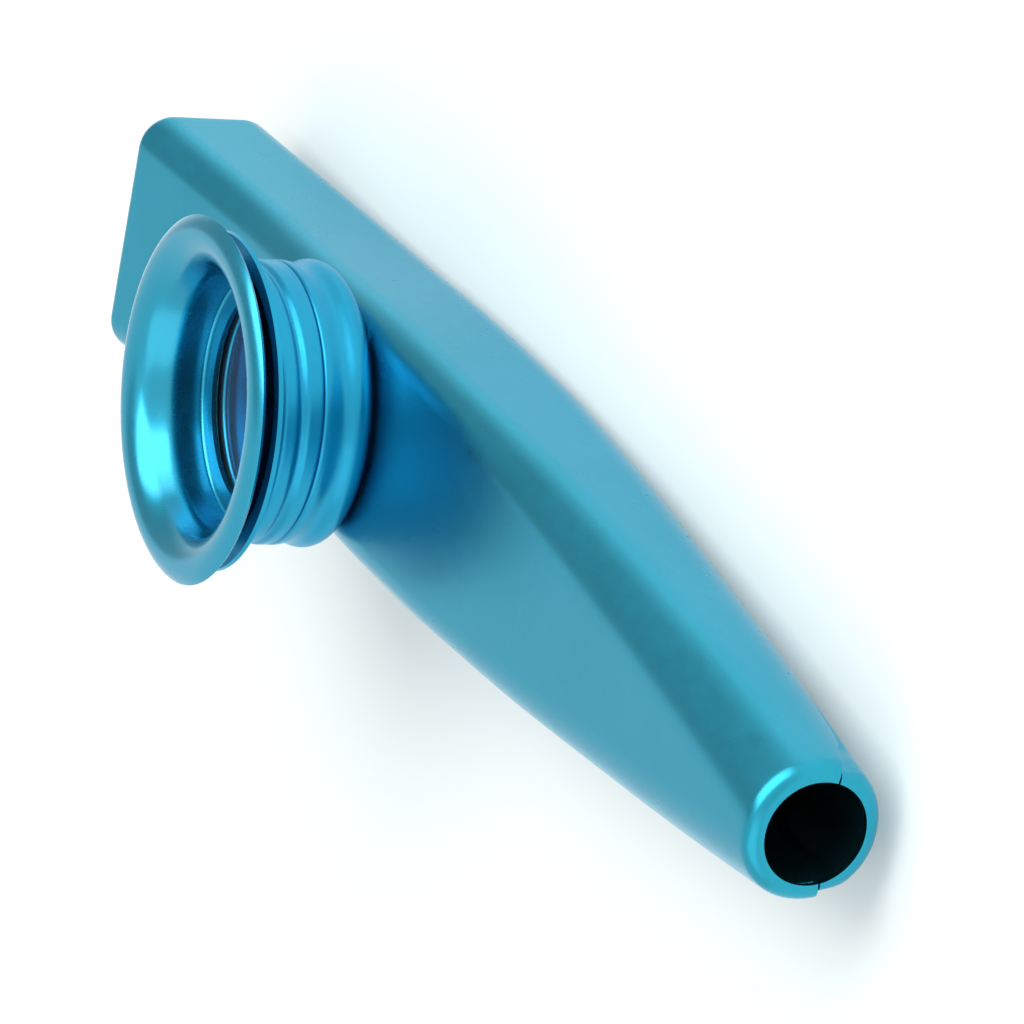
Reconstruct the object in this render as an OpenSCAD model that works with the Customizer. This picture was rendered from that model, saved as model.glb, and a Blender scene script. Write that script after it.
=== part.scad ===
// A metal kazoo: two pressed half shells, a riveted turret collar, a screwed-in bell and a clamped
// membrane. It rests on its underside with the turret up. X runs from the mouth end to the narrow end, and
// the origin is under the middle of the body, on the surface that it rests on. Sizes are in millimetres.

/* [Body] */
// Length of the body
body_len = 120; // [100:1:140]
// Thickness of the pressed sheet
sheet_t = 0.5; // [0.4:0.05:0.55]
// Width of the mouth end
mouth_w = 20.1; // [17:0.1:21]
// Height of the mouth end
mouth_t = 11.4; // [9:0.1:13]
// Height of the mouth end's underside above the resting surface
mouth_lift = 2.5; // [1:0.1:3]
// Width of the waist between the mouth end and the turret
waist_w = 18.4; // [17:0.1:20]
// Width under the turret
seat_w = 19.5; // [18:0.1:21]
// Width of the shoulders past the turret
shoulder_w = 18.4; // [17:0.1:21]
// Width where the neck begins to narrow quickly
neck_w = 15.2; // [14:0.1:18]
// Height of the body under the turret
body_t = 11.55; // [10:0.05:15]
// Height of the neck's underside above the resting surface
neck_lift = 0.7; // [0.5:0.1:3]
// Outer diameter of the narrow end
exit_d = 10.2; // [9.5:0.1:12]
// Height of the narrow end's underside above the resting surface
exit_lift = 1.75; // [1:0.05:4]
// Radius of the section's corners
corner_r = 2.8; // [2.3:0.1:3.5]

/* [Ends and seam] */
// Flat width of the turned-in lips past their round turn
lip_flat = 0.2; // [0.1:0.05:0.4]
// Width of the hem that the upper shell folds under the lower one
hem_w = 1.2; // [0.8:0.1:2]
// Height by which the lower shell's sides stand up inside the upper shell
lap_h = 2; // [1:0.1:3]
// Clearance between the two shells
shell_gap = 0.08; // [0.05:0.01:0.15]

/* [Turret collar] */
// Distance of the turret's axis from the mouth end
turret_at = 39.15; // [38:0.05:50]
// Height of the bell's rim above the body's top face
turret_h = 10.75; // [10.5:0.05:12]
// Outer diameter of the collar's barrel
barrel_d = 21.8; // [20.5:0.1:23]
// Thickness of the collar's sheet
collar_t = 0.35; // [0.3:0.01:0.4]
// How far the collar's flared lip reaches out past its barrel
flare_w = 2.1; // [1.6:0.05:2.4]
// Distance of the flared lip below the bell's rim
flare_drop = 1.7; // [1.5:0.05:1.9]
// Upward tilt of the flared lip, in degrees
flare_tilt = 12; // [6:1:16]
// Height of the middle of the membrane's folded seat above the body's top face
seat_h = 4.4; // [4.2:0.05:4.6]
// How far the folded seat reaches in from the barrel's outer face
fold_w = 2.5; // [2:0.05:3]
// Height of the barrel's lowest ring above the body's top face
last_ring_h = 1.5; // [1.4:0.05:1.9]
// How far the barrel's lowest ring stands out
last_ring_w = 0.15; // [0.05:0.01:0.25]
// Depth of the valley above the barrel's lowest ring
ring_depth = 0.25; // [0.1:0.01:0.3]
// Height of the barrel's curled foot above the body's top face
foot_lift = 0.15; // [0.1:0.05:0.4]
// Outer diameter of the eyelet neck through the upper shell
eyelet_d = 10; // [8:0.1:10.5]
// Width of the eyelet's flange under the upper shell
flange_w = 0.9; // [0.7:0.05:1.2]
// Clearance between the eyelet and the upper shell
eyelet_gap = 0.04; // [0.02:0.01:0.1]

/* [Thread] */
// Rise of the thread in one turn
pitch = 1.85; // [1.75:0.05:2]
// Depth of the rolled thread
thread_depth = 0.25; // [0.15:0.01:0.28]
// Clearance between the bell's thread and the collar's
thread_gap = 0.1; // [0.06:0.01:0.1]
// Width of a thread ridge at its foot
ridge_w = 0.8; // [0.6:0.05:0.85]
// Width of a thread ridge at its crest
crest_w = 0.35; // [0.2:0.05:0.45]

/* [Bell] */
// How far the bell's rim reaches out past the collar's flared lip
rim_w = 1.1; // [0.6:0.05:1.6]
// Thickness of the bell's sheet
bell_t = 0.4; // [0.3:0.05:0.45]
// Distance from the rim in to the crest of the bell's lip
lip_w = 1.4; // [1.2:0.05:1.7]
// Height of the lip's crest above the rim
lip_crest_h = 0.6; // [0.3:0.05:0.8]
// Radius of the turn from the lip into the funnel
lip_turn_r = 2.4; // [1.8:0.05:2.6]
// Slant of the funnel, in degrees from upright
funnel_tilt = 24; // [20:1:30]
// Width of the foot that holds the membrane down, in from the throat
foot_w = 1.65; // [1.3:0.05:2]

/* [Membrane] */
// Thickness of the membrane's ring
ring_t = 0.4; // [0.3:0.05:0.5]
// Width of the membrane's ring
ring_w = 1; // [0.8:0.05:1.5]
// Thickness of the film
film_t = 0.12; // [0.1:0.01:0.15]
// Clearance of the membrane's edge from the thread
ring_gap = 0.3; // [0.2:0.05:0.4]
// Clearance of the membrane from the seat below it and from the foot above it
clamp_gap = 0.04; // [0.02:0.01:0.06]

/* [Hidden] */

// Facets round a full turn and along a thread's turn, and steps along the body and its climbing seam, its
// ends' turns and its corners
round_fn = 96;
thread_fn = 40;
body_steps = 23;
seam_steps = 20;
turn_steps = 4;
corner_steps = 8;
lap_steps = 2;
wave_steps = 8;
overrun = 1;

blue = [0.16, 0.55, 0.70];
bright_blue = [0.25, 0.62, 0.74];
card = [0.88, 0.88, 0.82];
wax = [0.92, 0.93, 0.90];

mouth_x = -body_len / 2;
exit_x = body_len / 2;
turret_x = mouth_x + turret_at;
face_z = body_t;
rim_z = face_z + turret_h;

// How far the lower shell's outer face lies inside the upper shell's
nest = sheet_t + shell_gap;
// The lower shell's ends turn as tightly as the sheet allows, and both shells' lips end at the same hole
tight_turn_share = 1.2;
lower_turn_r = tight_turn_share * sheet_t;
hole_inset = nest + lower_turn_r + lip_flat / 2;
turn_r = hole_inset - lip_flat;
end_clear = turn_r + shell_gap;

// Places along the body, as shares of its length, with the size of the section at each
width_shares = [0, 0.2, 0.4, 0.6, 0.8, 1];
top_shares = [0, 0.2, 0.7, 1];
bottom_shares = [0, 0.24, 0.5, 0.72, 1];
widths = [mouth_w, waist_w, seat_w, shoulder_w, neck_w, exit_d];
tops = [mouth_lift + mouth_t, body_t, body_t, exit_lift + exit_d];
bottoms = [mouth_lift, 0, 0, neck_lift, exit_lift];
// The section is a rounded rectangle up to here, and then it turns steadily into a circle
round_from_share = 0.5;
round_share = 0.99;

// The upper shell's edge reaches this far round the lower corner, in degrees below its side
wrap_shares = [0, 0.82, 0.89, 0.915, 0.965, 0.985, 1];
wrap_angles = [90, 90, 48, 34, 26, 14, 12];
// From a little past that edge, the lower shell swells until its face is nearly flush with the upper one's
flush_from = 3;
flush_over = 35;
flush_gap = shell_gap / 2;
// The rows lie closer together from where the edge begins to climb
seam_x = mouth_x + body_len * wrap_shares[1];
// The hem under the lower shell runs out before the narrow end
hem_shares = [0, 0.77, 0.82, 1];
hem_end_share = 0.1;
hem_widths = [hem_w, hem_w, hem_w * hem_end_share, hem_w * hem_end_share];

// The collar and the bell
barrel_r = barrel_d / 2;
flare_r = barrel_r + flare_w;
rim_r = flare_r + rim_w;
eyelet_r = eyelet_d / 2;
flange_r = eyelet_r + flange_w;
collar_inner_r = barrel_r - collar_t;
collar_crest_r = collar_inner_r - thread_depth;
tube_r = collar_crest_r - thread_gap;
throat_r = tube_r - bell_t;
bell_crest_r = tube_r + thread_depth;
seat_z = face_z + seat_h + collar_t;
film_z = seat_z + clamp_gap;
ring_z = film_z + film_t;
foot_z = ring_z + ring_t + clamp_gap;
ring_r = collar_crest_r - ring_gap;
film_share = 0.97;
film_r = ring_r * film_share;

// A smooth curve through points at rising places, which never overshoots them
function gap(x, i) = x[i + 1] - x[i];
function rise(x, y, i) = (y[i + 1] - y[i]) / gap(x, i);
function mid_slope(x, y, i) =
    let (a = rise(x, y, i - 1), b = rise(x, y, i), g = gap(x, i - 1), h = gap(x, i))
    a * b <= 0 ? 0 : 3 * (g + h) / ((2 * h + g) / a + (h + 2 * g) / b);
function end_slope(a, b, g, h) =
    let (d = ((2 * g + h) * a - g * b) / (g + h))
    d * a <= 0 ? 0 : a * b <= 0 && abs(d) > 3 * abs(a) ? 3 * a : d;
function slope(x, y, i) =
    let (n = len(x) - 1)
    i == 0 ? end_slope(rise(x, y, 0), rise(x, y, 1), gap(x, 0), gap(x, 1)) :
    i == n ? end_slope(rise(x, y, n - 1), rise(x, y, n - 2), gap(x, n - 1), gap(x, n - 2)) :
    mid_slope(x, y, i);
function span(x, s, i = 0) = i >= len(x) - 2 || s < x[i + 1] ? i : span(x, s, i + 1);
function curve(x, y, s) =
    let (i = span(x, s), h = gap(x, i), u = (s - x[i]) / h, v = 1 - u)
    y[i] * v * v * (1 + 2 * u) + y[i + 1] * u * u * (3 - 2 * u)
    + h * u * v * (slope(x, y, i) * v - slope(x, y, i + 1) * u);

// The body's outer section at a share of its length
function half_w(s) = curve(width_shares, widths, s) / 2;
function top_z(s) = curve(top_shares, tops, s);
function bottom_z(s) = curve(bottom_shares, bottoms, s);
function full_r(s) = round_share * min(half_w(s), (top_z(s) - bottom_z(s)) / 2);
function round_part(s) = max(0, (s - round_from_share) / (1 - round_from_share));
function corner(s) = let (f = full_r(s)) min(f, corner_r + (f - corner_r) * round_part(s));
function corner_y(s) = half_w(s) - corner(s);
function low_z(s) = bottom_z(s) + corner(s);
function high_z(s) = top_z(s) - corner(s);
function wrap(s) = curve(wrap_shares, wrap_angles, s);
function hem(s) = curve(hem_shares, hem_widths, s);
function share(x) = max(0, min(1, (x - mouth_x) / body_len));
function ease(u) = let (v = max(0, min(1, u))) v * v * (3 - 2 * v);
function flush(s, angle) = ease((angle - wrap(s) - flush_from) / flush_over);

// A point on a corner of the section, inset below the outer face
function corner_point(s, z, inset, angle) =
    let (r = corner(s) - inset)
    [corner_y(s) + r * cos(angle), z + r * sin(angle)];

// The +Y half of the upper shell's section, from its edge to its flat face
function at(x, p) = [x, p[0], p[1]];
function upper_half(x, inset) =
    let (s = share(x), w = wrap(s), edge = corner_point(s, low_z(s), inset, -w) - hem(s) * [sin(w), cos(w)])
    concat([at(x, edge)],
           [for (i = [0:corner_steps])
               at(x, corner_point(s, low_z(s), inset, -w * (1 - i / corner_steps)))],
           [for (i = [0:corner_steps]) at(x, corner_point(s, high_z(s), inset, 90 * i / corner_steps))]);

// The +Y half of the lower shell's section, from the top of its lap to its flat face. Each row comes in two
// depths, tucked into the upper shell and flush with it, and holds its outer face at 0 and its inner at 2.
function lap_point(s, inset, up) =
    let (side = high_z(s) - low_z(s))
    up <= side ? [half_w(s) - inset, low_z(s) + up] :
    corner_point(s, high_z(s), inset, (up - side) / corner(s) * 180 / PI);
function lower_point(tucked, flushed, face, angle) =
    let (u = flush(share(tucked[face]), angle), row = tucked * (1 - u) + flushed * u, s = share(row[face]))
    at(row[face], corner_point(s, low_z(s), row[face + 1], -angle));
function lower_half(tucked, flushed, face) =
    let (x = tucked[face], s = share(x))
    concat([for (i = [0:lap_steps - 1])
                at(x, lap_point(s, tucked[face + 1], lap_h * (1 - i / lap_steps)))],
           [for (i = [0:corner_steps]) lower_point(tucked, flushed, face, 90 * i / corner_steps)]);
function back(half) = [for (i = [len(half) - 1:-1:0]) half[i]];
function other(half) = [for (p = half) [p[0], -p[1], p[2]]];
function upper_line(x, inset) =
    let (half = upper_half(x, inset))
    concat(half, other(back(half)));
function lower_line(tucked, flushed, face) =
    let (half = lower_half(tucked, flushed, face))
    concat(other(half), back(half));

// Rows along a shell: where its outer and inner faces are, and how deep each lies, with both ends turned in
function turn_row(end, way, base, r, angle) =
    [end + way * (r - r * sin(angle)), base + r - r * cos(angle),
     end + way * (r - (r - sheet_t) * sin(angle)), base + r - (r - sheet_t) * cos(angle)];
function rows(base, r) = concat(
    [[mouth_x, hole_inset, mouth_x + sheet_t, hole_inset]],
    [for (i = [0:turn_steps]) turn_row(mouth_x, 1, base, r, 90 * (1 - i / turn_steps))],
    [for (i = [1:body_steps - 1])
        let (from = mouth_x + r, x = from + (seam_x - from) * i / body_steps)
        [x, base, x, base + sheet_t]],
    [for (i = [0:seam_steps - 1])
        let (x = seam_x + (exit_x - r - seam_x) * i / seam_steps)
        [x, base, x, base + sheet_t]],
    [for (i = [0:turn_steps]) turn_row(exit_x, -1, base, r, 90 * i / turn_steps)],
    [[exit_x, hole_inset, exit_x - sheet_t, hole_inset]]);

// A sheet between an outer and an inner grid of points
module pressed(outer, inner) {
    n = len(outer);
    m = len(outer[0]);
    k = n * m;
    polyhedron(
        points = concat([for (row = outer) each row], [for (row = inner) each row]),
        faces = concat(
            [for (i = [0:n - 2]) for (j = [0:m - 2]) let (a = i * m + j, b = a + m) each
                [[a, b, b + 1], [a, b + 1, a + 1],
                 [k + a, k + b + 1, k + b], [k + a, k + a + 1, k + b + 1]]],
            [for (i = [0:n - 2]) let (a = i * m, b = a + m) each
                [[a, k + a, k + b], [a, k + b, b]]],
            [for (i = [0:n - 2]) let (a = i * m + m - 1, b = a + m) each
                [[a, b, k + b], [a, k + b, k + a]]],
            [for (j = [0:m - 2]) each
                [[j, j + 1, k + j + 1], [j, k + j + 1, k + j]]],
            [for (j = [0:m - 2]) let (a = k - m + j) each
                [[a, k + a, k + a + 1], [a, k + a + 1, a + 1]]]));
}

module upper_shell() {
    line_rows = rows(0, turn_r);
    color(blue)
        difference() {
            pressed([for (r = line_rows) upper_line(r[0], r[1])],
                    [for (r = line_rows) upper_line(r[2], r[3])]);
            translate([turret_x, 0, face_z - sheet_t - overrun])
                cylinder(r = eyelet_r + eyelet_gap, h = sheet_t + 2 * overrun, $fn = round_fn);
        }
}

// The lower shell's laps stop short of the upper shell's turned ends
module end_cuts() {
    keep_y = corner_y(0) - hem_w - shell_gap;
    edge_angle = wrap(share(exit_x - end_clear));
    edge_gap = hem(1) + shell_gap;
    for (way = [-1, 1]) {
        translate([mouth_x - overrun, way > 0 ? keep_y : -mouth_w, -overrun])
            cube([end_clear + overrun, mouth_w - keep_y, mouth_lift + mouth_t + 2 * overrun]);
        translate([exit_x - end_clear, 0, low_z(1)])
            rotate([-way * edge_angle, 0, 0])
                translate([0, way > 0 ? 0 : -exit_d, -edge_gap])
                    cube([end_clear + overrun, exit_d, exit_d]);
    }
}

module lower_shell() {
    tucked = rows(nest, lower_turn_r);
    flushed = rows(flush_gap, lower_turn_r + nest - flush_gap);
    last = len(tucked) - 1;
    color(blue)
        difference() {
            pressed([for (i = [0:last]) lower_line(tucked[i], flushed[i], 0)],
                    [for (i = [0:last]) lower_line(tucked[i], flushed[i], 2)]);
            end_cuts();
        }
}

// Points along an arc, and the outline of a sheet lying to the left of the path along one of its faces
function arc(middle, r, from, to, steps) =
    [for (i = [0:steps]) let (a = from + (to - from) * i / steps) middle + r * [cos(a), sin(a)]];
function left(a, b) = let (d = b - a) [-d[1], d[0]] / norm(d);
function lifted(path, i, t) =
    let (n = len(path) - 1,
         before = i == 0 ? left(path[0], path[1]) : left(path[i - 1], path[i]),
         after = i == n ? before : left(path[i], path[i + 1]),
         both = before + after)
    path[i] + t * 2 * both / (both * both);
function sheet(path, t) = concat(path, [for (i = [len(path) - 1:-1:0]) lifted(path, i, t)]);

// A thread ridge: a strip that climbs to the right round the turret's axis between two heights. Past its
// foot it runs on into the wall, as wide as its slanted flanks make it.
root_share = 0.5;
root_w = ridge_w + (ridge_w - crest_w) * root_share;
module thread(foot_r, crest_r, from_z, to_z, start) {
    steps = ceil((to_z - from_z) / pitch * thread_fn);
    root_r = foot_r + (foot_r - crest_r) * root_share;
    line_rows = [for (i = [0:steps])
        let (z = from_z + (to_z - from_z) * i / steps, a = start + z / pitch * 360)
        [for (p = [[root_r, -root_w], [crest_r, -crest_w], [crest_r, crest_w], [root_r, root_w]])
            [p[0] * cos(a), p[0] * sin(a), z + p[1] / 2]]];
    ends = [[3, 2, 1, 0], [for (j = [0:3]) 4 * steps + j]];
    sides = [for (i = [0:steps - 1]) for (j = [0:3])
        let (a = 4 * i + j, b = 4 * i + (j + 1) % 4) each
        [[a, b, b + 4], [a, b + 4, a + 4]]];
    polyhedron(
        points = [for (row = line_rows) each row],
        faces = [for (f = concat(ends, sides)) crest_r > foot_r ? f : back(f)]);
}

// The collar's sheet, along its outer face from the eyelet's flange up to the flared lip. Heights are above
// the body's top face.
flare_fillet_share = 1.5;
fillet_r = collar_t * flare_fillet_share;
flare_from_r = barrel_r + fillet_r * (1 - sin(flare_tilt));
flare_rise = (flare_r - flare_from_r) * tan(flare_tilt);
fillet_z = turret_h - flare_drop - collar_t / cos(flare_tilt) - flare_rise - fillet_r * cos(flare_tilt);
flare_z = fillet_z + fillet_r * cos(flare_tilt) + flare_rise;
curl_r = last_ring_h - foot_lift;
last_r = barrel_r + last_ring_w;
floor_r = last_r - curl_r;
wave_z = seat_h - collar_t;
collar_path = concat(
    [[flange_r, -sheet_t - eyelet_gap], [eyelet_r, -sheet_t - eyelet_gap]],
    [[eyelet_r, 0], [floor_r - foot_lift, 0]],
    arc([floor_r, last_ring_h], curl_r, -90, 0, corner_steps),
    [for (i = [1:wave_steps]) let (u = i / wave_steps)
        [last_r + (barrel_r - last_r) * u - ring_depth * (1 - cos(360 * u)) / 2,
         last_ring_h + (wave_z - last_ring_h) * u]],
    arc([barrel_r + fillet_r, fillet_z], fillet_r, 180, 90 + flare_tilt, corner_steps),
    [[flare_r, flare_z]]);

// The fold that the membrane sits on, and the fine groove that it leaves outside
seat_r = barrel_r - fold_w;
fold_path = concat(
    arc([seat_r + collar_t, seat_h], collar_t, 90, 270, corner_steps),
    [[barrel_r - collar_t / 2, seat_h - collar_t], [barrel_r - collar_t / 2, seat_h + collar_t]]);
fold_share = 0.8;
fold_r = collar_t * fold_share;
groove_path = concat(
    arc([barrel_r - fold_r, seat_h + fold_r], fold_r, 0, -90, corner_steps),
    arc([barrel_r - fold_r, seat_h - fold_r], fold_r, 90, 0, corner_steps),
    [[barrel_r + overrun, seat_h - fold_r], [barrel_r + overrun, seat_h + fold_r]]);

// The collar's thread runs between the fold and the flare, and crosses the +X side at this height. The
// bell's thread runs half a turn behind it.
cross_share = 0.9;
cross_h = seat_h + pitch * cross_share;
collar_low_z = seat_h + collar_t + ridge_w;
collar_high_z = fillet_z - ridge_w / 2;
bell_low_z = foot_z - face_z + root_w / 2;
collar_start = -cross_h / pitch * 360;
bell_start = collar_start - 180;

module turret_collar() {
    color(blue)
        translate([turret_x, 0, face_z])
            difference() {
                union() {
                    rotate_extrude($fn = round_fn) polygon(sheet(collar_path, collar_t));
                    rotate_extrude($fn = round_fn) polygon(fold_path);
                    thread(collar_inner_r, collar_crest_r, collar_low_z, collar_high_z, collar_start);
                }
                rotate_extrude($fn = round_fn) polygon(groove_path);
                thread(barrel_r, barrel_r - thread_depth, collar_low_z, collar_high_z, collar_start);
            }
}

// The bell's sheet, along its upper face from the rim over the lip and down the funnel to the foot. Heights
// are above the rim.
lip_r = rim_r - lip_w;
lip_arc_r = (lip_w * lip_w + lip_crest_h * lip_crest_h) / (2 * lip_crest_h);
funnel_angle = 180 - funnel_tilt;
funnel_top = [lip_r, lip_crest_h - lip_turn_r] + lip_turn_r * [cos(funnel_angle), sin(funnel_angle)];
funnel_low_z = funnel_top[1] - (funnel_top[0] - throat_r) / tan(funnel_tilt);
foot_top_z = foot_z + bell_t - rim_z;
bell_path = concat(
    arc([lip_r, lip_crest_h - lip_arc_r], lip_arc_r, acos(lip_w / lip_arc_r), 90, corner_steps),
    arc([lip_r, lip_crest_h - lip_turn_r], lip_turn_r, 90 + 90 / corner_steps, funnel_angle, corner_steps),
    [[throat_r, funnel_low_z], [throat_r, foot_top_z], [throat_r - foot_w, foot_top_z]]);

module turret_bell() {
    color(bright_blue)
        translate([turret_x, 0, 0]) {
            translate([0, 0, rim_z])
                rotate_extrude($fn = round_fn) polygon(sheet(bell_path, bell_t));
            translate([0, 0, face_z])
                thread(tube_r, bell_crest_r, bell_low_z, collar_high_z, bell_start);
        }
}

module membrane_ring() {
    color(card)
        translate([turret_x, 0, ring_z])
            difference() {
                cylinder(r = ring_r, h = ring_t, $fn = round_fn);
                translate([0, 0, -overrun])
                    cylinder(r = ring_r - ring_w, h = ring_t + 2 * overrun, $fn = round_fn);
            }
}

module membrane_film() {
    color(wax)
        translate([turret_x, 0, film_z])
            cylinder(r = film_r, h = film_t, $fn = round_fn);
}

upper_shell();
lower_shell();
turret_collar();
turret_bell();
membrane_ring();
membrane_film();
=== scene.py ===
import math

import bpy
import numpy as np
from mathutils import Matrix


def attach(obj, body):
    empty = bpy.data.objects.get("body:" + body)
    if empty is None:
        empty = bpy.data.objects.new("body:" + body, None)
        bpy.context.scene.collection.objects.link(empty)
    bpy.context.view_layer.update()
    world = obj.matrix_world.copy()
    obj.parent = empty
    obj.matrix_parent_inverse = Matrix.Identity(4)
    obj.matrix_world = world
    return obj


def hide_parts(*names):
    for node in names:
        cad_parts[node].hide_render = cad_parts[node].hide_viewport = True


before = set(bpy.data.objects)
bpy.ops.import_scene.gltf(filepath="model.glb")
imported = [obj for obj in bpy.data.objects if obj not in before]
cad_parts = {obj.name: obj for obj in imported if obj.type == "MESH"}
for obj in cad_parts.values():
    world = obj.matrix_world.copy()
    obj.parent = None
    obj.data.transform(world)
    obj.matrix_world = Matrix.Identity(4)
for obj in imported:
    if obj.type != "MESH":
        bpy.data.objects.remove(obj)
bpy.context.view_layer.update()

MM = 0.001

# Sizes in millimetres, as in the part's source. The body:
LEN = 120.0
SHEET = 0.5
GAP = 0.08
NEST = SHEET + GAP
LIP_FLAT = 0.2
LOWER_TURN = 1.2 * SHEET
INSET = NEST + LOWER_TURN + LIP_FLAT / 2
TURN = INSET - LIP_FLAT
CORNER = 2.8
ROUND_FROM = 0.5
ROUND_SHARE = 0.99
HEM = 1.2
LAP = 2.0

WIDTH_AT = (0, 0.2, 0.4, 0.6, 0.8, 1)
WIDTHS = (20.1, 18.4, 19.5, 18.4, 15.2, 10.2)
TOP_AT = (0, 0.2, 0.7, 1)
TOPS = (13.9, 11.55, 11.55, 11.95)
BOTTOM_AT = (0, 0.24, 0.5, 0.72, 1)
BOTTOMS = (2.5, 0.0, 0.0, 0.7, 1.75)
WRAP_AT = (0, 0.82, 0.89, 0.915, 0.965, 0.985, 1)
WRAPS = (90, 90, 48, 34, 26, 14, 12)
HEM_AT = (0, 0.77, 0.82, 1)
HEMS = (HEM, HEM, 0.12, 0.12)
# Past the upper shell's edge the lower shell swells until it is nearly flush
FLUSH_FROM = 3
FLUSH_AT = (0, 0.93, 1)
FLUSH_OVERS = (9, 11, 30)
FLUSH_GAP = GAP / 2

# The turret, with heights above the body's top face
TURRET_X = -20.85
FACE_Z = 11.55
TURRET_H = 10.75
RIM_Z = FACE_Z + TURRET_H
PITCH = 1.85

# The collar
COLLAR_T = 0.35
BARREL_R = 10.9
SEAT_H = 4.4
SEAT_R = 8.4
CROSS_H = SEAT_H + 0.9 * PITCH
FLARE_R = 13.0
FLARE_DROP = 1.7
FLARE_TILT = 12
FILLET = 1.5 * COLLAR_T
FLARE_SIN, FLARE_COS = math.sin(math.radians(FLARE_TILT)), math.cos(math.radians(FLARE_TILT))
FLARE_RISE = (FLARE_R - BARREL_R - FILLET * (1 - FLARE_SIN)) * FLARE_SIN / FLARE_COS
FLARE_H = TURRET_H - FLARE_DROP - COLLAR_T / FLARE_COS
FILLET_H = FLARE_H - FLARE_RISE - FILLET * FLARE_COS
LAST_H = 1.5
LAST_R = 11.05
VALLEY = 0.25
FOOT_LIFT = 0.15
FOLD_R = 0.28
EYELET_R = 5.0
FLANGE_R = 5.9
RIVET_GAP = 0.04

# The membrane between the seat and the bell's foot
STACK_GAP = 0.04
FILM_R = 9.7
FILM_T = 0.12
FREE_FILM_R = 8.2
RING_R = 10.0
RING_HOLE_R = 9.0
RING_T = 0.4
FILM_H = SEAT_H + COLLAR_T + STACK_GAP
RING_H = FILM_H + FILM_T

# The bell, with heights below its rim
BELL_T = 0.4
RIM_R = 14.1
LIP_R = 12.7
CREST = 0.6
LIP_TURN = 2.4
FUNNEL_TILT = 24
FUNNEL_ROUND = 0.6
THROAT_R = 9.8
FOOT_R = 8.15
FOOT_ROUND = 0.35
FOOT_Z = RING_H + RING_T + STACK_GAP + BELL_T - TURRET_H

# The thread as rolled: for each wall its radii, its heights, the height where it crosses the X axis,
# its width as a share of the pitch and its depth
COLLAR_GROOVE = dict(walls=(BARREL_R - 0.6, BARREL_R + 0.7), heights=(4.75, 8.4),
                     cross=CROSS_H, wide=0.62, depth=-0.27)
COLLAR_RIDGE = dict(walls=(BARREL_R - 0.7, BARREL_R), heights=(5.0, FILLET_H + 0.3),
                    cross=CROSS_H, wide=0.5, depth=-0.25)
BELL_RIDGE = dict(walls=(THROAT_R + BELL_T - 0.2, THROAT_R + BELL_T + 0.2), heights=(5.32, 7.9),
                  cross=CROSS_H + PITCH / 2, wide=0.44, depth=0.25)
THREAD_FADE = 0.7

# How finely the meshes are divided
ROWS_ALONG = 230
END_STEPS = 10
CORNER_STEPS = 16
WALL_STEPS = 4
TOP_STEPS = 8
LAP_STEPS = 4
SWELL_STEPS = 48
PAN_STEPS = 6
ARC_STEPS = 14
FILLET_STEPS = 12
EDGE_STEPS = 10
FOLD_STEPS = 8
SEAT_STEPS = 6
BEND_STEPS = 6
VALLEY_STEPS = 24
HOLE_SIDES = 128
PROFILE_STEP = 0.12
TURNS = 360
SMOOTH_ANGLE = 42
TURNED_ANGLE = 50
UPPER_BEVEL = 0.1
LOWER_BEVEL = 0.08
BEVEL_ANGLE = 55

# How far the cutters reach past what they cut, and the size of their free sides
OVERRUN = 1.0
FREE_SIDE, FREE_WIDTH, FREE_HEIGHT = 12.0, 20.0, 14.0


def smooth_curve(xs, ys):
    """A curve through the points that never overshoots them."""
    xs, ys = np.array(xs, float), np.array(ys, float)
    h = np.diff(xs)
    s = np.diff(ys) / h
    n = len(xs)
    d = np.zeros(n)
    for i in range(1, n - 1):
        if s[i - 1] * s[i] > 0:
            a, b = 2 * h[i] + h[i - 1], h[i] + 2 * h[i - 1]
            d[i] = 3 * (h[i - 1] + h[i]) / (a / s[i - 1] + b / s[i])

    def end(a, b, g, k):
        v = ((2 * g + k) * a - g * b) / (g + k)
        if v * a <= 0:
            return 0.0
        if a * b <= 0 and abs(v) > 3 * abs(a):
            return 3 * a
        return v

    d[0] = end(s[0], s[1], h[0], h[1])
    d[-1] = end(s[-1], s[-2], h[-1], h[-2])

    def at(v):
        i = int(min(max(np.searchsorted(xs, v, side="right") - 1, 0), n - 2))
        u = (v - xs[i]) / h[i]
        w = 1 - u
        return (ys[i] * w * w * (1 + 2 * u) + ys[i + 1] * u * u * (3 - 2 * u)
                + h[i] * u * w * (d[i] * w - d[i + 1] * u))
    return at


def ease(v):
    """Goes smoothly from 0 to 1 as the value does."""
    v = min(max(v, 0.0), 1.0)
    return v * v * (3 - 2 * v)


def spread(a, b, n):
    """The values from a to b in n equal steps."""
    return [a + (b - a) * i / n for i in range(n + 1)]


def line(a, b, n):
    """Points between two ends, without the ends."""
    return [(a[0] + (b[0] - a[0]) * i / n, a[1] + (b[1] - a[1]) * i / n) for i in range(1, n)]


def arc(middle, r, start, end, n):
    """Points round a circle, from one angle in degrees to the other."""
    angles = [math.radians(t) for t in spread(start, end, n)]
    return [(middle[0] + r * math.cos(t), middle[1] + r * math.sin(t)) for t in angles]


def new_object(name, verts, faces, smooth_angle=SMOOTH_ANGLE):
    me = bpy.data.meshes.new(name)
    me.from_pydata([tuple(c * MM for c in v) for v in verts], [], faces)
    me.validate()
    me.update()
    me.shade_smooth()
    me.set_sharp_from_angle(angle=math.radians(smooth_angle))
    obj = bpy.data.objects.new(name, me)
    bpy.context.scene.collection.objects.link(obj)
    return obj


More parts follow.
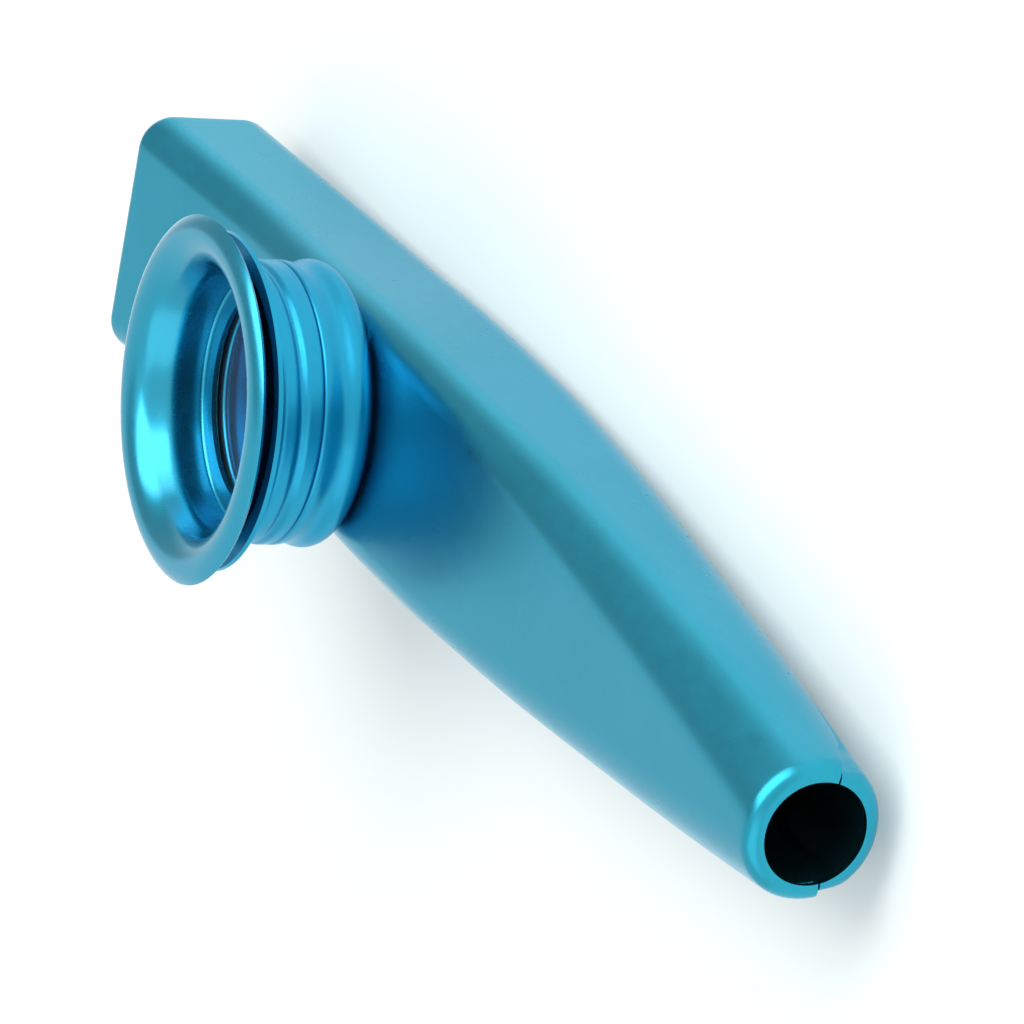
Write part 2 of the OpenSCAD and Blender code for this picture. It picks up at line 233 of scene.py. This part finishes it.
# The body's outline along its length
width = smooth_curve(WIDTH_AT, WIDTHS)
top = smooth_curve(TOP_AT, TOPS)
bottom = smooth_curve(BOTTOM_AT, BOTTOMS)
wrap_of = smooth_curve(WRAP_AT, WRAPS)
hem_of = smooth_curve(HEM_AT, HEMS)
flush_over = smooth_curve(FLUSH_AT, FLUSH_OVERS)


def share_of(x):
    """The place as a share of the body's length, from the mouth."""
    return min(max((x + LEN / 2) / LEN, 0.0), 1.0)


class Section:
    """The body's outer section at one place along it."""

    def __init__(self, x):
        s = share_of(x)
        self.half = width(s) / 2
        self.top = top(s)
        self.bottom = bottom(s)
        # The corners grow into a nearly round section towards the narrow end
        full = ROUND_SHARE * min(self.half, (self.top - self.bottom) / 2)
        part = max(0.0, (s - ROUND_FROM) / (1 - ROUND_FROM))
        self.r = min(full, CORNER + (full - CORNER) * part)
        self.low = self.bottom + self.r
        self.high = self.top - self.r
        self.wrap = wrap_of(s)
        self.hem = hem_of(s)

    def corner(self, z, inset, degrees):
        """A point round the corner whose middle is at one height, inset from the surface."""
        a = math.radians(degrees)
        r = self.r - inset
        return (self.half - self.r + r * math.cos(a), z + r * math.sin(a))


def upper_line(x, inset):
    """The upper shell's section, from one cut edge over the top face to the other."""
    c = Section(x)
    w = math.radians(c.wrap)
    start = c.corner(c.low, inset, -c.wrap)
    half = [(start[0] - c.hem * math.sin(w), start[1] - c.hem * math.cos(w))]
    half += [c.corner(c.low, inset, a) for a in spread(-c.wrap, 0, CORNER_STEPS)]
    half += line(half[-1], c.corner(c.high, inset, 0), WALL_STEPS)
    half += [c.corner(c.high, inset, a) for a in spread(0, 90, CORNER_STEPS)]
    y, z = half[-1]
    return half + line((y, z), (-y, z), TOP_STEPS) + [(-y, z) for y, z in reversed(half)]


def flush(x, angle):
    """How far the lower shell has come out, from 0 tucked in to 1 flush."""
    s = share_of(x)
    return ease((angle - wrap_of(s) - FLUSH_FROM) / flush_over(s))


def lower_half(tucked, flushed, face):
    """Half of the lower shell's section, from a row in two depths: tucked in and flush."""
    x, inset = tucked[face], tucked[face + 1]
    c = Section(x)
    room = c.high - c.low
    pts = []
    for rise in spread(LAP, 0, LAP_STEPS)[:-1]:
        if rise <= room:
            pts.append((x, c.half - inset, c.low + rise))
        else:
            pts.append((x, *c.corner(c.high, inset, math.degrees((rise - room) / c.r))))
    for angle in spread(0, 90, SWELL_STEPS):
        u = flush(x, angle)
        at = x * (1 - u) + flushed[face] * u
        depth = inset * (1 - u) + flushed[face + 1] * u
        d = Section(at)
        pts.append((at, *d.corner(d.low, depth, -angle)))
    return pts


def lower_line(tucked, flushed, face):
    half = lower_half(tucked, flushed, face)
    x, y, z = half[-1]
    pan = [(x, a, b) for a, b in line((-y, z), (y, z), PAN_STEPS)]
    return [(a, -b, c) for a, b, c in half] + pan + list(reversed(half))


def turn_rows(end, way, base, r, angles):
    """Rows round the turned-in lip of one end, each with a place and a depth for both faces."""
    rows = []
    for a in angles:
        c, s = math.cos(math.radians(a)), math.sin(math.radians(a))
        outer = (end + way * (r - r * s), base + r - r * c)
        inner = (end + way * (r - (r - SHEET) * s), base + r - (r - SHEET) * c)
        rows.append(outer + inner)
    return rows


def shell_rows(base, r):
    """All the rows of a shell that lies at one depth, with lips of one radius."""
    a, b = -LEN / 2, LEN / 2
    rows = [(a, INSET, a + SHEET, INSET)]
    rows += turn_rows(a, 1, base, r, spread(90, 0, END_STEPS))
    rows += [(x, base, x, base + SHEET) for x in spread(a + r, b - r, ROWS_ALONG)[1:-1]]
    rows += turn_rows(b, -1, base, r, spread(0, 90, END_STEPS))
    rows += [(b, INSET, b - SHEET, INSET)]
    return rows


def thick_sheet(name, outer, inner):
    """A closed mesh between two grids of points."""
    n, m = len(outer), len(outer[0])
    k = n * m
    verts = [p for row in outer for p in row] + [p for row in inner for p in row]
    faces = []
    for i in range(n - 1):
        for j in range(m - 1):
            a, b = i * m + j, (i + 1) * m + j
            faces.append((a, a + 1, b + 1, b))
            faces.append((k + a, k + b, k + b + 1, k + a + 1))
        a, b = i * m, (i + 1) * m
        faces.append((a, b, k + b, k + a))
        a, b = a + m - 1, b + m - 1
        faces.append((a, k + a, k + b, b))
    for j in range(m - 1):
        faces.append((j, k + j, k + j + 1, j + 1))
        a = k - m + j
        faces.append((a, a + 1, k + a + 1, k + a))
    return new_object(name, verts, faces)


def box_object(name, low, high):
    x0, y0, z0 = low
    x1, y1, z1 = high
    verts = [(x, y, z) for x in (x0, x1) for y in (y0, y1) for z in (z0, z1)]
    faces = [(0, 1, 3, 2), (4, 6, 7, 5), (0, 4, 5, 1), (2, 3, 7, 6), (0, 2, 6, 4), (1, 5, 7, 3)]
    return new_object(name, verts, faces)


def cylinder_object(name, x, r, z0, z1):
    n = HOLE_SIDES
    circle = [(r * math.cos(2 * math.pi * i / n), r * math.sin(2 * math.pi * i / n)) for i in range(n)]
    verts = [(x + a, b, z) for z in (z0, z1) for a, b in circle]
    faces = [(i, (i + 1) % n, n + (i + 1) % n, n + i) for i in range(n)]
    faces += [tuple(reversed(range(n))), tuple(range(n, 2 * n))]
    return new_object(name, verts, faces)


def cut(obj, cutter):
    """Takes the cutter out of the mesh and removes it."""
    mod = obj.modifiers.new("cut", "BOOLEAN")
    mod.operation = "DIFFERENCE"
    mod.solver = "EXACT"
    mod.object = cutter
    bpy.context.view_layer.update()
    deps = bpy.context.evaluated_depsgraph_get()
    me = bpy.data.meshes.new_from_object(obj.evaluated_get(deps))
    obj.modifiers.clear()
    old = obj.data
    obj.data = me
    bpy.data.meshes.remove(old)
    bpy.data.objects.remove(cutter)
    me.shade_smooth()
    me.set_sharp_from_angle(angle=math.radians(SMOOTH_ANGLE))


def bevel(obj, size):
    mod = obj.modifiers.new("edge", "BEVEL")
    mod.width = size * MM
    mod.segments = 2
    mod.limit_method = "ANGLE"
    mod.angle_limit = math.radians(BEVEL_ANGLE)


def make_upper_shell():
    rows = shell_rows(0.0, TURN)
    outer = [[(x, y, z) for y, z in upper_line(x, inset)] for x, inset, _, _ in rows]
    inner = [[(x, y, z) for y, z in upper_line(x, inset)] for _, _, x, inset in rows]
    obj = thick_sheet("upper_skin", outer, inner)
    hole = (TURRET_X, EYELET_R + RIVET_GAP, FACE_Z - SHEET - OVERRUN, FACE_Z + OVERRUN)
    cut(obj, cylinder_object("hole_cutter", *hole))
    bevel(obj, UPPER_BEVEL)
    return obj


def edge_cutter(side, clear):
    """A box that keeps the lower shell's narrow lip clear of the upper shell's cut edge."""
    end = Section(LEN / 2)
    tilt = math.radians(wrap_of(share_of(LEN / 2 - clear)))
    cutter = box_object("edge_cutter", (0, 0, -end.hem - GAP), (clear + OVERRUN, FREE_SIDE, FREE_SIDE))
    for v in cutter.data.vertices:
        x, y, z = (c / MM for c in v.co)
        y, z = y * math.cos(tilt) + z * math.sin(tilt), z * math.cos(tilt) - y * math.sin(tilt)
        v.co = [c * MM for c in (LEN / 2 - clear + x, side * y, end.low + z)]
    if side < 0:
        cutter.data.flip_normals()
    return cutter


def make_lower_shell():
    tucked = shell_rows(NEST, LOWER_TURN)
    flushed = shell_rows(FLUSH_GAP, LOWER_TURN + NEST - FLUSH_GAP)
    faces = [[lower_line(a, b, face) for a, b in zip(tucked, flushed)] for face in (0, 2)]
    obj = thick_sheet("lower_skin", *faces)
    # The lips leave room for the upper shell's own lips
    clear = TURN + GAP
    mouth = Section(-LEN / 2)
    keep = mouth.half - mouth.r - HEM - GAP
    for side in (1, -1):
        near, far = sorted((side * keep, side * FREE_WIDTH))
        low = (-LEN / 2 - OVERRUN, near, -OVERRUN)
        cut(obj, box_object("mouth_cutter", low, (-LEN / 2 + clear, far, FREE_HEIGHT)))
    for side in (-1, 1):
        cut(obj, edge_cutter(side, clear))
    bevel(obj, LOWER_BEVEL)
    return obj


# The turret's sheets are turned profiles
def refine(path):
    """The path with points at most one step apart."""
    out = [path[0]]
    for p, q in zip(path, path[1:]):
        n = max(1, math.ceil(math.hypot(q[0] - p[0], q[1] - p[1]) / PROFILE_STEP))
        out += line(p, q, n) + [q]
    return out


def offset(path, t):
    """The path moved to its left by one thickness."""
    p = np.array(path)
    d = np.diff(p, axis=0)
    d /= np.linalg.norm(d, axis=1)[:, None]
    left = np.stack([-d[:, 1], d[:, 0]], axis=1)
    both = np.vstack([left[:1] * 2, left[:-1] + left[1:], left[-1:] * 2])
    return [tuple(q) for q in p + t * 2 * both / (both * both).sum(axis=1)[:, None]]


def round_path(points, at, r):
    """The path with its corner at one index rounded."""
    p, q, s = (np.array(points[i]) for i in (at - 1, at, at + 1))
    a = q + (p - q) / np.linalg.norm(p - q) * r
    b = q + (s - q) / np.linalg.norm(s - q) * r
    bend = [tuple((1 - t) ** 2 * a + 2 * t * (1 - t) * q + t * t * b) for t in spread(0, 1, BEND_STEPS)]
    return points[:at] + bend + points[at + 1:]


def thread(walls, heights, cross, wide, depth, base=0.0):
    """A change of radius along a right-handed thread, for the walls between two radii."""
    low, high = heights

    def change(r, z, a):
        if not walls[0] <= r <= walls[1]:
            return 0.0
        z += base
        # The ridge climbs to the right: at the angle a it crosses the height cross + PITCH * a / 2 pi
        u = (z - cross) / PITCH - a / (2 * math.pi)
        u = abs(u - round(u)) * 2 / wide
        ridge = 0.0 if u >= 1 else 0.5 + 0.5 * math.cos(math.pi * u)
        return depth * ridge * ease((z - low) / THREAD_FADE) * ease((high - z) / THREAD_FADE)
    return change


def revolve(name, outer, inner, z0, outer_change=None, inner_change=None, turns=TURNS):
    """A turned sheet between two profiles, whose radii a function may change round it."""
    loop = [(r, z, outer_change) for r, z in outer] + [(r, z, inner_change) for r, z in reversed(inner)]
    m = len(loop)
    verts = []
    for k in range(turns):
        a = 2 * math.pi * k / turns
        for r, z, change in loop:
            r += change(r, z, a) if change else 0.0
            verts.append((TURRET_X + r * math.cos(a), r * math.sin(a), z0 + z))
    faces = []
    for k in range(turns):
        a, b = k * m, (k + 1) % turns * m
        faces += [(a + j, b + j, b + (j + 1) % m, a + (j + 1) % m) for j in range(m)]
    return new_object(name, verts, faces, TURNED_ANGLE)


def make_collar():
    """One sheet: the eyelet, the floor, the last ring, the folded seat, the barrel and the flared lip."""
    curl = LAST_H - FOOT_LIFT
    floor_r = LAST_R - curl
    under = -SHEET - RIVET_GAP
    path = [(FLANGE_R, under), (EYELET_R, under), (EYELET_R, 0), (floor_r - FOOT_LIFT, 0)]
    path += arc((floor_r, LAST_H), curl, -90, 0, ARC_STEPS)
    for u in spread(0, 1, VALLEY_STEPS)[1:]:
        valley = VALLEY * (1 - math.cos(2 * math.pi * u)) / 2
        path.append((LAST_R + (BARREL_R - LAST_R) * u - valley, LAST_H + (SEAT_H - COLLAR_T - LAST_H) * u))
    low = refine(path + [(BARREL_R, SEAT_H - FOLD_R)])
    lip = arc((BARREL_R + FILLET, FILLET_H), FILLET, 180, 90 + FLARE_TILT, FILLET_STEPS)
    high = refine([(BARREL_R, SEAT_H + FOLD_R)] + lip + [(FLARE_R, FLARE_H)])
    fold = arc((BARREL_R - FOLD_R, SEAT_H - FOLD_R), FOLD_R, 0, 90, FOLD_STEPS)[1:]
    fold += arc((BARREL_R - FOLD_R, SEAT_H + FOLD_R), FOLD_R, -90, 0, FOLD_STEPS)[1:]

    # Inside, the fold reaches in as a flat seat with a round edge
    wall = BARREL_R - COLLAR_T
    seat_low, seat_high = SEAT_H - COLLAR_T, SEAT_H + COLLAR_T
    slack = 0.02
    inner_low = [(r, z) for r, z in offset(low, COLLAR_T) if z <= seat_low - slack]
    inner_high = [(r, z) for r, z in offset(high, COLLAR_T) if z > seat_high + slack]
    edge = arc((SEAT_R + COLLAR_T, SEAT_H), COLLAR_T, 270, 90, EDGE_STEPS)
    seat = [(wall, seat_low)] + line((wall, seat_low), edge[0], SEAT_STEPS) + edge
    seat += line(edge[-1], (wall, seat_high), SEAT_STEPS) + [(wall, seat_high)]

    outer, inner = low + fold + high[1:], inner_low + seat + inner_high
    return revolve("collar_skin", outer, inner, FACE_Z, thread(**COLLAR_GROOVE), thread(**COLLAR_RIDGE))


def make_bell():
    """One sheet: the rim, the lip, the funnel, the threaded throat and the foot."""
    run = RIM_R - LIP_R
    crest_r = (run * run + CREST * CREST) / (2 * CREST)
    path = arc((LIP_R, CREST - crest_r), crest_r, math.degrees(math.acos(run / crest_r)), 90, ARC_STEPS)
    path += arc((LIP_R, CREST - LIP_TURN), LIP_TURN, 90, 180 - FUNNEL_TILT, ARC_STEPS)[1:]
    r, z = path[-1]
    path += [(THROAT_R, z - (r - THROAT_R) / math.tan(math.radians(FUNNEL_TILT)))]
    path += [(THROAT_R, FOOT_Z), (FOOT_R, FOOT_Z)]
    path = round_path(path, len(path) - 3, FUNNEL_ROUND)
    path = round_path(path, len(path) - 2, FOOT_ROUND)
    upper_face = refine(path)
    ridge = thread(**BELL_RIDGE, base=TURRET_H)
    return revolve("bell_skin", upper_face, offset(upper_face, BELL_T), RIM_Z, None, ridge)


def make_ring():
    edge = 0.04
    outer = [(RING_HOLE_R, edge), (RING_HOLE_R + edge, 0), (RING_R - edge, 0), (RING_R, edge),
             (RING_R, RING_T - edge), (RING_R - edge, RING_T)]
    inner = [(RING_HOLE_R, z) for z in (0.06, 0.1, 0.2, 0.3, RING_T - edge)]
    inner += [(RING_HOLE_R + edge, RING_T)]
    return revolve("membrane_card", outer, inner, FACE_Z + RING_H, turns=TURNS // 2)


def make_film():
    """A thin disc with slight waves where it isn't held."""
    rings, n = 30, 144

    def wave(r, a):
        f = r / FILM_R
        slow = 0.02 * math.sin(3 * a + 0.6) * f * f * (1 - f) * 4
        fine = 0.008 * math.sin(17 * a + 5 * f) * (1 - f) * f
        return slow + fine if r < FREE_FILM_R else 0.0

    verts, faces = [], []
    for side in (0, 1):
        z = FACE_Z + FILM_H + side * FILM_T
        verts.append((TURRET_X, 0, z))
        for k in range(1, rings + 1):
            r = FILM_R * k / rings
            for j in range(n):
                a = 2 * math.pi * j / n
                verts.append((TURRET_X + r * math.cos(a), r * math.sin(a), z + wave(r, a)))
    size = 1 + rings * n
    rim = 1 + (rings - 1) * n
    for j in range(n):
        i = (j + 1) % n
        for base, way in ((0, -1), (size, 1)):
            faces.append((base, base + 1 + j, base + 1 + i)[::way])
            for k in range(rings - 1):
                a, b = base + 1 + k * n, base + 1 + (k + 1) * n
                faces.append((a + j, b + j, b + i, a + i)[::way])
        faces.append((rim + j, rim + i, size + rim + i, size + rim + j))
    return new_object("membrane_sheet", verts, faces)


# Noise scales, in cells per metre: the dye's clouds, the rougher spots and the blasted grain
CLOUDS, SPOTS, GRAIN = 90, 700, 1600


def node(nt, kind, **values):
    n = nt.nodes.new(kind)
    for key, value in values.items():
        setattr(n, key, value)
    return n


def new_material(name):
    """A new material, with its node tree, its main shader and the object's coordinates."""
    mat = bpy.data.materials.new(name)
    mat.use_nodes = True
    nt = mat.node_tree
    return mat, nt, nt.nodes["Principled BSDF"], node(nt, "ShaderNodeTexCoord").outputs["Object"]


def noise(nt, coords, scale, detail):
    n = node(nt, "ShaderNodeTexNoise")
    n.inputs["Scale"].default_value = scale
    n.inputs["Detail"].default_value = detail
    nt.links.new(coords, n.inputs["Vector"])
    return n.outputs["Fac"]


def ramp(nt, value, low, dark, high, light):
    """The dark colour up to the low value, the light one from the high value."""
    r = node(nt, "ShaderNodeValToRGB")
    for element, place, colour in zip(r.color_ramp.elements, (low, high), (dark, light)):
        element.position = place
        element.color = (*colour, 1)
    nt.links.new(value, r.inputs["Fac"])
    return r.outputs["Color"]


def add_bump(nt, shader, height, strength, distance_mm):
    b = node(nt, "ShaderNodeBump")
    b.inputs["Strength"].default_value = strength
    b.inputs["Distance"].default_value = distance_mm * MM
    nt.links.new(height, b.inputs["Height"])
    nt.links.new(b.outputs["Normal"], shader.inputs["Normal"])


def anodised(name, dark, light, rough, rough_spread, coat, coat_rough, coat_ior, bump):
    """Dyed aluminium: a fine blasted grain and slow clouds in the dye."""
    mat, nt, p, coords = new_material(name)
    colour = ramp(nt, noise(nt, coords, CLOUDS, 3), 0.3, dark, 0.7, light)
    nt.links.new(colour, p.inputs["Base Color"])
    p.inputs["Metallic"].default_value = 1.0
    spots = node(nt, "ShaderNodeMapRange")
    spots.inputs["From Min"].default_value = 0.3
    spots.inputs["From Max"].default_value = 0.7
    spots.inputs["To Min"].default_value = rough - rough_spread
    spots.inputs["To Max"].default_value = rough + rough_spread
    nt.links.new(noise(nt, coords, SPOTS, 4), spots.inputs["Value"])
    nt.links.new(spots.outputs["Result"], p.inputs["Roughness"])
    p.inputs["Coat Weight"].default_value = coat
    p.inputs["Coat Roughness"].default_value = coat_rough
    p.inputs["Coat IOR"].default_value = coat_ior
    p.inputs["Specular Tint"].default_value = (0.5, 0.8, 0.92, 1)
    add_bump(nt, p, noise(nt, coords, GRAIN, 2), bump, 0.02)
    return mat


def body_material():
    return anodised("body_anodised", (0.011, 0.325, 0.46), (0.015, 0.345, 0.495),
                    rough=0.3, rough_spread=0.03, coat=0.9, coat_rough=0.3, coat_ior=1.3, bump=0.06)


def bell_material():
    return anodised("bell_anodised", (0.012, 0.345, 0.51), (0.017, 0.37, 0.55),
                    rough=0.27, rough_spread=0.02, coat=1.0, coat_rough=0.17, coat_ior=1.38, bump=0.02)


def collar_material():
    return anodised("collar_anodised", (0.01, 0.31, 0.51), (0.014, 0.33, 0.55),
                    rough=0.36, rough_spread=0.03, coat=0.6, coat_rough=0.3, coat_ior=1.3, bump=0.05)


def inside_shade_material():
    """The sheet's inner face: unpolished metal in a near-black teal, far darker than the dye outside, as
    painted shade for the body's hollow inside.
    """
    mat, nt, p, coords = new_material("body_inside_painted_shade")
    # Painted shade: the inner faces are coloured near-black so that the body's hollow inside reads as
    # shaded
    colour = ramp(nt, noise(nt, coords, 200, 4), 0.3, (0.008, 0.06, 0.075), 0.7, (0.012, 0.085, 0.105))
    nt.links.new(colour, p.inputs["Base Color"])
    p.inputs["Metallic"].default_value = 1.0
    p.inputs["Roughness"].default_value = 0.6
    add_bump(nt, p, noise(nt, coords, 2500, 3), 0.3, 0.03)
    return mat


def card_material():
    mat, nt, p, coords = new_material("ring_card")
    colour = ramp(nt, noise(nt, coords, 1500, 6), 0.35, (0.62, 0.62, 0.55), 0.7, (0.76, 0.76, 0.69))
    nt.links.new(colour, p.inputs["Base Color"])
    p.inputs["Roughness"].default_value = 0.85
    flat = node(nt, "ShaderNodeMapping")
    flat.inputs["Scale"].default_value = (1, 1, 0.3)
    nt.links.new(coords, flat.inputs["Vector"])
    add_bump(nt, p, noise(nt, flat.outputs["Vector"], 3000, 4), 0.4, 0.05)
    return mat


def film_material():
    mat, nt, p, coords = new_material("film_waxed")
    colour = ramp(nt, noise(nt, coords, 350, 5), 0.3, (0.34, 0.4, 0.4), 0.75, (0.44, 0.5, 0.49))
    nt.links.new(colour, p.inputs["Base Color"])
    p.inputs["Roughness"].default_value = 0.3
    p.inputs["Alpha"].default_value = 0.03
    add_bump(nt, p, noise(nt, coords, 500, 4), 0.3, 0.08)
    return mat


def paint_inside_shade(obj, material):
    """Gives the painted shade material to the faces that look towards the body's middle line."""
    lean, margin = -0.5, 1.0
    me = obj.data
    me.materials.append(material)
    n = len(me.polygons)
    centre, normal = np.zeros(3 * n), np.zeros(3 * n)
    me.polygons.foreach_get("center", centre)
    me.polygons.foreach_get("normal", normal)
    centre, normal = centre.reshape(-1, 3) / MM, normal.reshape(-1, 3)
    sections = [Section(x) for x in centre[:, 0]]
    middle = np.array([(c.top + c.bottom) / 2 for c in sections])
    outward = normal[:, 1] * centre[:, 1] + normal[:, 2] * (centre[:, 2] - middle)
    chosen = (outward < lean) & (abs(centre[:, 0]) < LEN / 2 - margin)
    me.polygons.foreach_set("material_index", chosen.astype(int))


upper, lower = make_upper_shell(), make_lower_shell()
body_mat = body_material()
pieces = [
    (upper, "body", "upper_shell", body_mat, "body_blue"),
    (lower, "body", "lower_shell", body_mat, "body_blue"),
    (make_collar(), "body", "turret_collar", collar_material(), "body_blue"),
    (make_bell(), "bell", "turret_bell", bell_material(), "bell_blue"),
    (make_ring(), "membrane", "membrane_ring", card_material(), "ring_card"),
    (make_film(), "membrane", "membrane_film", film_material(), "film"),
]
for obj, body, cad, mat, slot in pieces:
    obj.data.materials.clear()
    obj.data.materials.append(mat)
    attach(obj, body)
    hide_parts(cad)

# The shells' inner faces get the painted shade colour
inside_shade = inside_shade_material()
for obj in (upper, lower):
    paint_inside_shade(obj, inside_shade)


def place_facing(obj, place_mm, x_axis, y_axis, z_axis):
    """Places an object with its three axes, in millimetres."""
    rows = [[x_axis[i], y_axis[i], z_axis[i], place_mm[i] * MM] for i in range(3)]
    obj.matrix_world = Matrix(rows + [[0, 0, 0, 1]])
    bpy.context.scene.collection.objects.link(obj)


def add_camera():
    """The photograph's camera, fitted to the outline and the turret's circles."""
    az, el, roll = (math.radians(v) for v in (111.296, 24.721, -88.763))
    back = np.array([math.sin(az) * math.cos(el), -math.cos(az) * math.cos(el), math.sin(el)])
    right = np.cross([0, 0, 1], back)
    right /= np.linalg.norm(right)
    up = np.cross(back, right)
    x_axis = right * math.cos(roll) + up * math.sin(roll)
    y_axis = -right * math.sin(roll) + up * math.cos(roll)
    focal_px, frame_px = 7500, 1024
    aim, distance = np.array([5.726, 1.778, 7.013]), 553.01
    data = bpy.data.cameras.new("camera")
    data.sensor_width = 36
    data.lens = focal_px / frame_px * data.sensor_width
    data.clip_start = 0.01
    data.clip_end = 20
    camera = bpy.data.objects.new("camera", data)
    place_facing(camera, aim + back * distance, x_axis, y_axis, back)
    bpy.context.scene.camera = camera


def add_floor():
    """A pale floor that keeps the object's shadow, with a little glow where it is seen."""
    s, glow = 3000.0, 0.1
    obj = new_object("floor", [(-s, -s, 0), (s, -s, 0), (s, s, 0), (-s, s, 0)], [(0, 1, 2, 3)])
    mat, nt, p, _ = new_material("floor_white")
    p.inputs["Base Color"].default_value = (0.81, 0.865, 0.86, 1)
    p.inputs["Roughness"].default_value = 0.9
    path = node(nt, "ShaderNodeLightPath")
    seen = path.outputs["Is Camera Ray"]
    for ray in ("Is Transmission Ray", "Is Glossy Ray"):
        either = node(nt, "ShaderNodeMath", operation="ADD", use_clamp=True)
        nt.links.new(seen, either.inputs[0])
        nt.links.new(path.outputs[ray], either.inputs[1])
        seen = either.outputs[0]
    share = node(nt, "ShaderNodeMath", operation="MULTIPLY")
    share.inputs[1].default_value = glow
    nt.links.new(seen, share.inputs[0])
    mix = node(nt, "ShaderNodeMixShader")
    nt.links.new(share.outputs[0], mix.inputs[0])
    nt.links.new(p.outputs["BSDF"], mix.inputs[1])
    nt.links.new(node(nt, "ShaderNodeEmission").outputs["Emission"], mix.inputs[2])
    nt.links.new(mix.outputs["Shader"], nt.nodes["Material Output"].inputs["Surface"])
    obj.data.materials.append(mat)


def add_lamp(name, energy, size_mm, place_mm, aim_mm):
    data = bpy.data.lights.new(name, "AREA")
    data.energy = energy
    data.size = size_mm * MM
    obj = bpy.data.objects.new(name, data)
    z_axis = np.array(place_mm, float) - np.array(aim_mm, float)
    z_axis /= np.linalg.norm(z_axis)
    x_axis = np.cross([0, 0, 1], z_axis)
    x_axis /= np.linalg.norm(x_axis)
    place_facing(obj, place_mm, x_axis, np.cross(z_axis, x_axis), z_axis)


def add_room():
    """A pale room, darker overhead at the back towards +Y, and white where the camera sees it."""
    world = bpy.data.worlds.new("studio")
    bpy.context.scene.world = world
    world.use_nodes = True
    nt = world.node_tree
    split = node(nt, "ShaderNodeSeparateXYZ")
    nt.links.new(node(nt, "ShaderNodeTexCoord").outputs["Generated"], split.inputs[0])
    dark = None
    for axis, low, high in (("Y", -0.24, -0.1), ("Z", 0.0, 0.35), ("X", 0.25, -0.15)):
        side = node(nt, "ShaderNodeMapRange", interpolation_type="SMOOTHSTEP")
        side.inputs["From Min"].default_value = low
        side.inputs["From Max"].default_value = high
        nt.links.new(split.outputs[axis], side.inputs["Value"])
        if dark is None:
            dark = side.outputs["Result"]
            continue
        both = node(nt, "ShaderNodeMath", operation="MULTIPLY")
        nt.links.new(dark, both.inputs[0])
        nt.links.new(side.outputs["Result"], both.inputs[1])
        dark = both.outputs[0]
    room = nt.nodes["Background"]
    nt.links.new(ramp(nt, dark, 0.0, (0.93, 0.93, 0.93), 1.0, (0.5, 0.5, 0.5)), room.inputs["Color"])
    white = node(nt, "ShaderNodeBackground")
    white.inputs["Color"].default_value = (1, 1, 1, 1)
    mix = node(nt, "ShaderNodeMixShader")
    nt.links.new(node(nt, "ShaderNodeLightPath").outputs["Is Camera Ray"], mix.inputs[0])
    nt.links.new(room.outputs["Background"], mix.inputs[1])
    nt.links.new(white.outputs["Background"], mix.inputs[2])
    nt.links.new(mix.outputs["Shader"], nt.nodes["World Output"].inputs["Surface"])


add_camera()
add_floor()
add_lamp("key", 3.0, 600, (60, 360, 400), (0, 0, 8))
add_lamp("side", 0.4, 450, (350, -260, 260), (-10, 0, 8))
add_room()

bpy.context.scene.view_settings.view_transform = "Standard"
